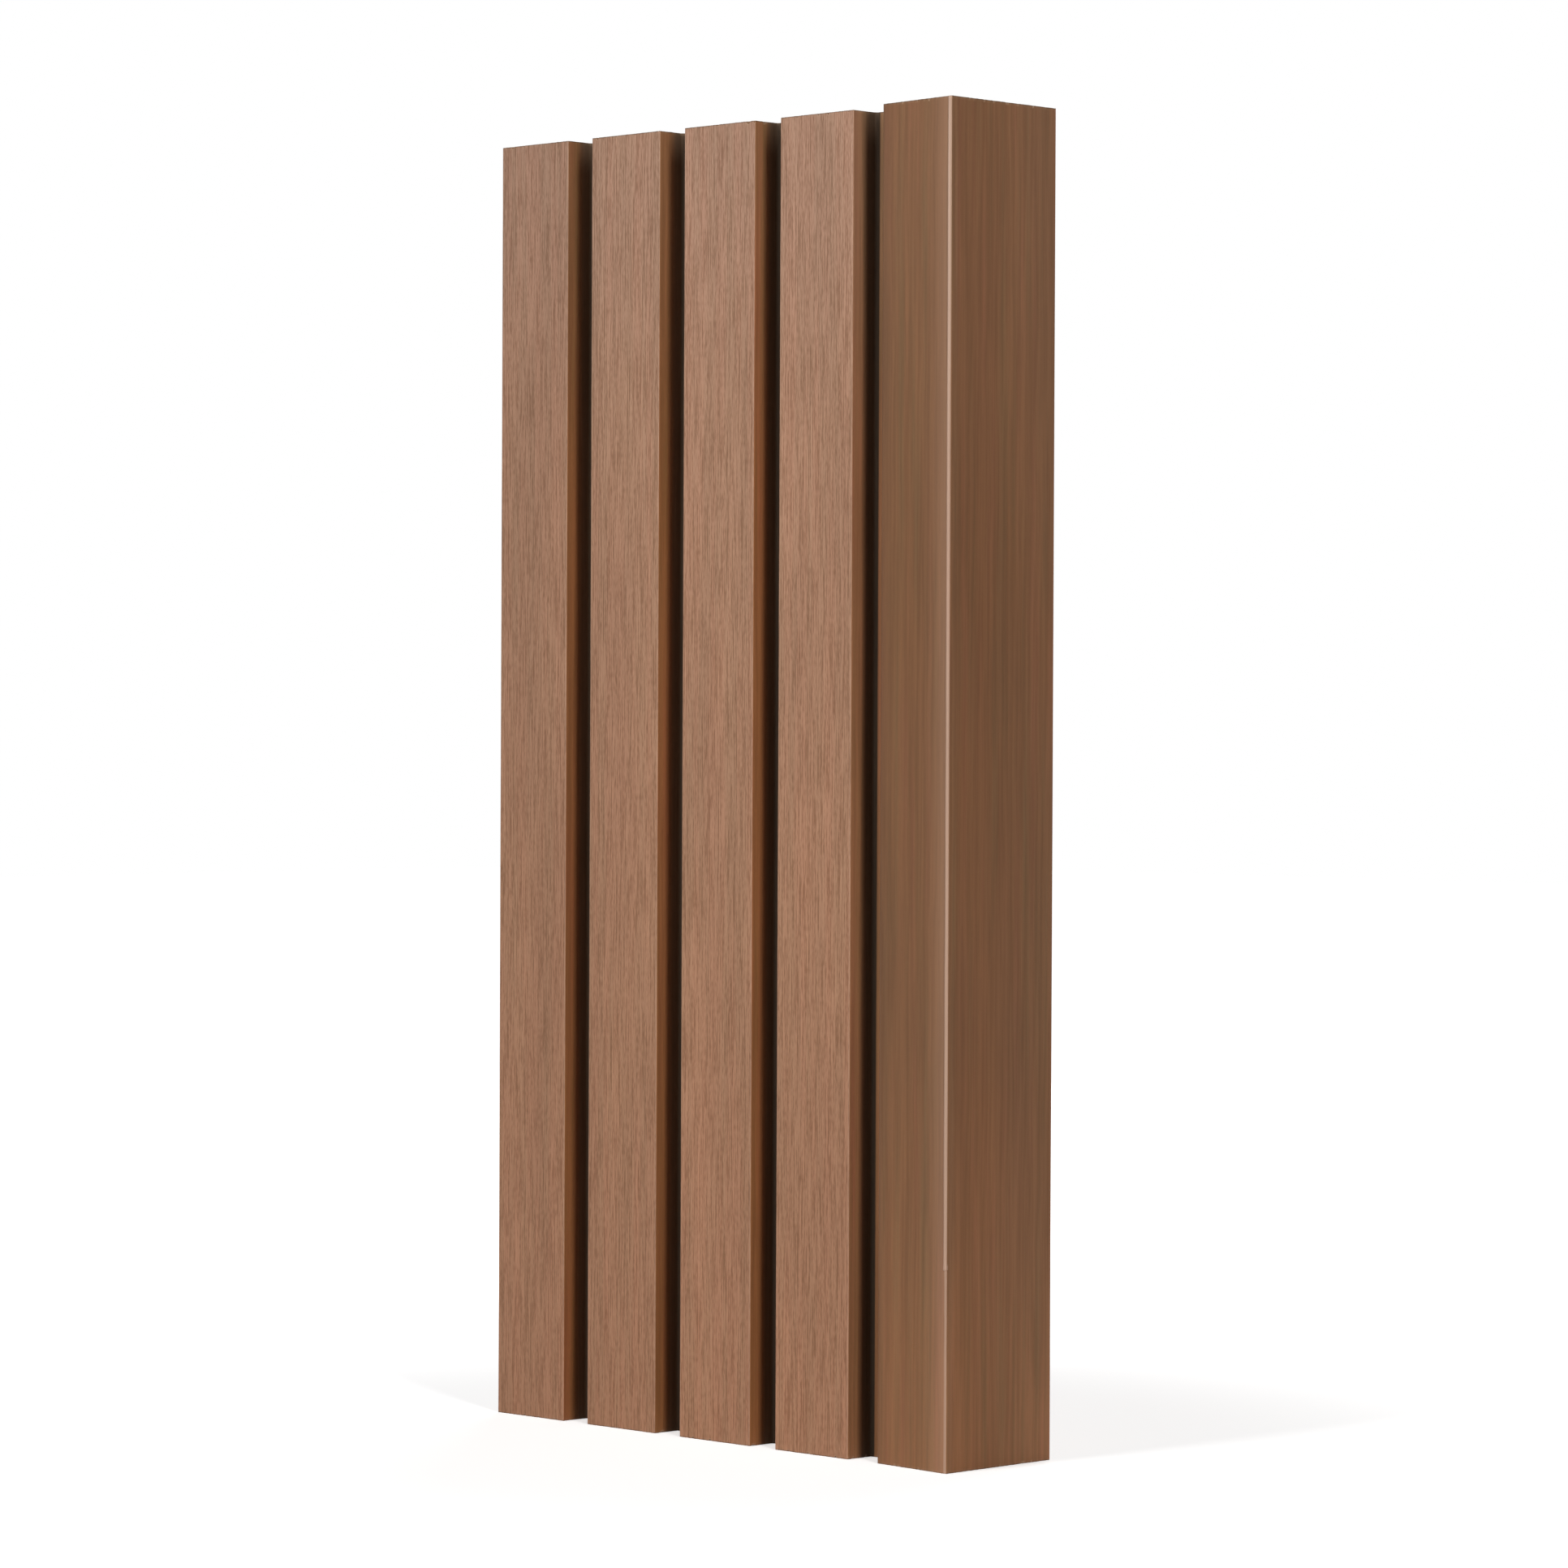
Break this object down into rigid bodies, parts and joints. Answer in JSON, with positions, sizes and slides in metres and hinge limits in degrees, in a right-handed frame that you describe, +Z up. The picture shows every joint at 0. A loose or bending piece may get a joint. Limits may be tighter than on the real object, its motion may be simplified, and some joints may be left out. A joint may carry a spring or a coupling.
{
  "type": "composite slat panel",
  "caption": "Upright length of slatted composite cladding, four hollow slats on one base, its right edge closed by a smooth L corner trim on a batten.",
  "frame": {"origin": "bottom centre of the bounding box, on the surface that the sawn ends stand on", "axes": "+Z up along the slats; the slat faces look towards -Y; the slats stand side by side along +X, with the corner trim at the +X end and its side leg running back to +Y"},
  "size_m": [0.26, 0.0603, 0.531],
  "materials": {
    "brushed_composite": "matt wood plastic composite, brushed along its length on the slat faces, smooth in the grooves",
    "smooth_composite": "smooth satin wood plastic composite with faint streaks along its length"
  },
  "bodies": {
    "root": {"slat_panel": "brushed_composite", "corner_trim": "smooth_composite", "corner_batten": "smooth_composite"}
  },
  "joints": []
}
